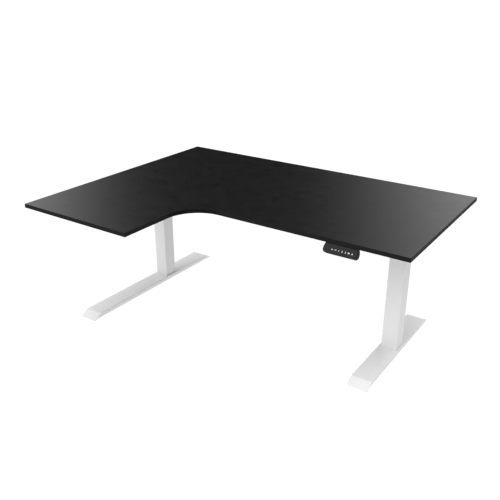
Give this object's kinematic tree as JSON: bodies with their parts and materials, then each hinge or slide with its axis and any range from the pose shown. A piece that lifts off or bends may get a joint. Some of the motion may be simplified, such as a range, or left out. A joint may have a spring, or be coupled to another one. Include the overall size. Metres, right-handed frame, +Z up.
{
  "type": "height adjustable standing desk",
  "caption": "L-shaped desk top on two telescopic lifting columns with flat feet, an under-top frame, a control box and a sloping push-button handset.",
  "frame": {"origin": "on the floor, under the middle of the top's bounding rectangle, desk at its lowest setting", "axes": "+X along the long side of the top, from the wing's end to the plain end; +Y from the user to the back edge; +Z up"},
  "size_m": [1.6, 1.2, 0.638],
  "materials": {
    "black_laminate": "fine-textured black laminate on chipboard, satin",
    "black_edging": "matt black edge band",
    "white_frame": "white powder coat, fine texture, satin",
    "grey_collar": "moulded light grey plastic",
    "slider_plastic": "natural acetal, slightly waxy",
    "screw_steel": "zinc plated steel",
    "nut_bronze": "machined bronze",
    "drive_aluminium": "extruded aluminium",
    "cast_aluminium": "die cast aluminium, fine grain",
    "motor_black": "black painted steel can",
    "black_plastic": "fine-textured black plastic",
    "black_gloss": "smooth black panel",
    "key_black": "black caps with pale symbols",
    "board_green": "green solder mask",
    "lead_black": "black flexible sheath"
  },
  "bodies": {
    "base": {"foot_left": "white_frame", "foot_right": "white_frame", "outer_tube_left": "white_frame", "outer_tube_right": "white_frame", "foot_ribs": "white_frame", "foot_screws": "screw_steel", "base_plates": "white_frame", "fixed_screws": "screw_steel", "outer_collars": "grey_collar", "outer_sliders": "slider_plastic"},
    "top": {"desktop": "black_laminate", "edge_band": "black_edging", "inner_tubes": "white_frame", "inner_sliders": "slider_plastic", "lift_nuts": "nut_bronze", "gear_housings": "cast_aluminium", "motors": "motor_black", "side_bracket_left": "white_frame", "side_bracket_right": "white_frame", "rails": "white_frame", "frame_bolts": "screw_steel", "wood_screws": "screw_steel", "control_case": "black_plastic", "control_lid": "black_plastic", "mains_inlet": "black_plastic", "circuit_boards": "board_green", "motor_leads": "lead_black", "handset_lead": "lead_black", "cable_clips": "black_plastic", "handset_housing": "black_plastic", "handset_fascia": "black_gloss"},
    "middle_left": {"middle_tube_left": "white_frame", "middle_collar_left": "grey_collar", "middle_sliders_left": "slider_plastic", "middle_bearing_left": "screw_steel"},
    "screw_left": {"hollow_screw_left": "screw_steel", "screw_nut_left": "nut_bronze"},
    "drive_left": {"drive_tube_left": "drive_aluminium", "worm_wheel_left": "slider_plastic"},
    "motor_worm_left": {"worm_left": "screw_steel"},
    "middle_right": {"middle_tube_right": "white_frame", "middle_collar_right": "grey_collar", "middle_sliders_right": "slider_plastic", "middle_bearing_right": "screw_steel"},
    "screw_right": {"hollow_screw_right": "screw_steel", "screw_nut_right": "nut_bronze"},
    "drive_right": {"drive_tube_right": "drive_aluminium", "worm_wheel_right": "slider_plastic"},
    "motor_worm_right": {"worm_right": "screw_steel"},
    "glide_left_front": {"glide_left_front": "black_plastic"},
    "glide_left_back": {"glide_left_back": "black_plastic"},
    "glide_right_front": {"glide_right_front": "black_plastic"},
    "glide_right_back": {"glide_right_back": "black_plastic"},
    "key_up": {"key_up": "key_black"},
    "key_down": {"key_down": "key_black"},
    "key_one": {"key_one": "key_black"},
    "key_two": {"key_two": "key_black"},
    "key_three": {"key_three": "key_black"},
    "key_memory": {"key_memory": "key_black"},
    "key_lock": {"key_lock": "key_black"}
  },
  "joints": [
    {"name": "lift", "type": "slide", "parent": "base", "child": "top", "axis": [0, 0, 1], "range_m": [0, 0.65]},
    {"name": "middle_stage_left", "type": "slide", "parent": "base", "child": "middle_left", "axis": [0, 0, 1], "range_m": [0, 0.325]},
    {"name": "screw_spin_left", "type": "hinge", "parent": "middle_left", "child": "screw_left", "pos_m": [-0.706, 0.173, 0.3], "axis": [0, 0, 1], "continuous": true},
    {"name": "drive_spin_left", "type": "hinge", "parent": "top", "child": "drive_left", "pos_m": [-0.706, 0.173, 0.3], "axis": [0, 0, 1], "continuous": true},
    {"name": "motor_spin_left", "type": "hinge", "parent": "top", "child": "motor_worm_left", "pos_m": [-0.706, 0.1993, 0.561], "axis": [1, 0, 0], "continuous": true},
    {"name": "middle_stage_right", "type": "slide", "parent": "base", "child": "middle_right", "axis": [0, 0, 1], "range_m": [0, 0.325]},
    {"name": "screw_spin_right", "type": "hinge", "parent": "middle_right", "child": "screw_right", "pos_m": [0.6293, 0.173, 0.3], "axis": [0, 0, 1], "continuous": true},
    {"name": "drive_spin_right", "type": "hinge", "parent": "top", "child": "drive_right", "pos_m": [0.6293, 0.173, 0.3], "axis": [0, 0, 1], "continuous": true},
    {"name": "motor_spin_right", "type": "hinge", "parent": "top", "child": "motor_worm_right", "pos_m": [0.6293, 0.1993, 0.561], "axis": [1, 0, 0], "continuous": true},
    {"name": "level_left_front", "type": "slide", "parent": "base", "child": "glide_left_front", "axis": [0, 0, -1], "range_m": [0, 0.006]},
    {"name": "level_left_back", "type": "slide", "parent": "base", "child": "glide_left_back", "axis": [0, 0, -1], "range_m": [0, 0.006]},
    {"name": "level_right_front", "type": "slide", "parent": "base", "child": "glide_right_front", "axis": [0, 0, -1], "range_m": [0, 0.006]},
    {"name": "level_right_back", "type": "slide", "parent": "base", "child": "glide_right_back", "axis": [0, 0, -1], "range_m": [0, 0.006]},
    {"name": "press_up", "type": "slide", "parent": "top", "child": "key_up", "axis": [0, 0.8396, -0.5433], "range_m": [0, 0.0005], "stiffness_N_per_m": 4000, "springref_m": -0.0001},
    {"name": "press_down", "type": "slide", "parent": "top", "child": "key_down", "axis": [0, 0.8396, -0.5433], "range_m": [0, 0.0005], "stiffness_N_per_m": 4000, "springref_m": -0.0001},
    {"name": "press_one", "type": "slide", "parent": "top", "child": "key_one", "axis": [0, 0.8396, -0.5433], "range_m": [0, 0.0005], "stiffness_N_per_m": 4000, "springref_m": -0.0001},
    {"name": "press_two", "type": "slide", "parent": "top", "child": "key_two", "axis": [0, 0.8396, -0.5433], "range_m": [0, 0.0005], "stiffness_N_per_m": 4000, "springref_m": -0.0001},
    {"name": "press_three", "type": "slide", "parent": "top", "child": "key_three", "axis": [0, 0.8396, -0.5433], "range_m": [0, 0.0005], "stiffness_N_per_m": 4000, "springref_m": -0.0001},
    {"name": "press_memory", "type": "slide", "parent": "top", "child": "key_memory", "axis": [0, 0.8396, -0.5433], "range_m": [0, 0.0005], "stiffness_N_per_m": 4000, "springref_m": -0.0001},
    {"name": "press_lock", "type": "slide", "parent": "top", "child": "key_lock", "axis": [0, 0.8396, -0.5433], "range_m": [0, 0.0005], "stiffness_N_per_m": 4000, "springref_m": -0.0001}
  ],
  "couplings": [
    {"joint": "middle_stage_left", "follows": "lift", "ratio": 0.5},
    {"joint": "screw_spin_left", "follows": "lift", "rad_per_m": 523.6},
    {"joint": "drive_spin_left", "follows": "lift", "rad_per_m": 523.6},
    {"joint": "motor_spin_left", "follows": "lift", "rad_per_m": 7854},
    {"joint": "middle_stage_right", "follows": "lift", "ratio": 0.5},
    {"joint": "screw_spin_right", "follows": "lift", "rad_per_m": 523.6},
    {"joint": "drive_spin_right", "follows": "lift", "rad_per_m": 523.6},
    {"joint": "motor_spin_right", "follows": "lift", "rad_per_m": -7854}
  ]
}
